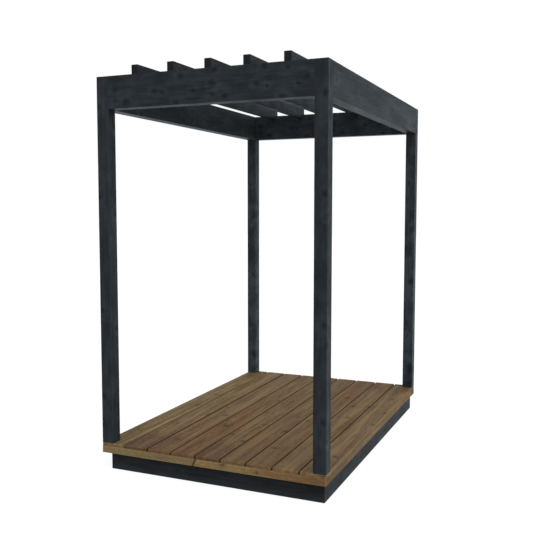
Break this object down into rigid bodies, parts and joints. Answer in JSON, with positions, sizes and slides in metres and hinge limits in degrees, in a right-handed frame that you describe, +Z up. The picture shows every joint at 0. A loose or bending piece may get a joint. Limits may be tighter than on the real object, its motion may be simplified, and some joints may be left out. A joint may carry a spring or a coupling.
{
  "type": "pergola",
  "caption": "Open timber pergola: square posts on a boarded deck with a low plinth, joined at the top by a ring of beams that carries housed rafters.",
  "frame": {"origin": "on the ground under the middle of the deck", "axes": "+Z up, +X to the right as seen from the front, front towards -Y"},
  "size_m": [1.51, 2.3, 2.55],
  "materials": {
    "black_timber": "matt black stain with the grain showing",
    "plinth_timber": "matt black stain with the grain showing",
    "deck_boards": "brown impregnated softwood, matt",
    "deck_rails": "brown impregnated softwood, matt",
    "joists": "sawn impregnated softwood, matt"
  },
  "bodies": {
    "root": {"front_left_post": "black_timber", "front_right_post": "black_timber", "back_left_post": "black_timber", "back_right_post": "black_timber", "front_beam": "black_timber", "back_beam": "black_timber", "left_beam": "black_timber", "right_beam": "black_timber", "rafter_1": "black_timber", "rafter_2": "black_timber", "rafter_3": "black_timber", "rafter_4": "black_timber", "rafter_5": "black_timber", "front_plinth": "plinth_timber", "back_plinth": "plinth_timber", "left_plinth": "plinth_timber", "right_plinth": "plinth_timber", "middle_bearer": "plinth_timber", "deck_board_1": "deck_boards", "deck_board_2": "deck_boards", "deck_board_3": "deck_boards", "deck_board_4": "deck_boards", "deck_board_5": "deck_boards", "deck_board_6": "deck_boards", "deck_board_7": "deck_boards", "deck_board_8": "deck_boards", "deck_board_9": "deck_boards", "front_rail": "deck_rails", "front_rail_short": "deck_rails", "back_rail": "deck_rails", "left_rail": "deck_rails", "right_rail": "deck_rails", "joist_1": "joists", "joist_2": "joists", "joist_3": "joists", "joist_4": "joists"}
  },
  "joints": []
}
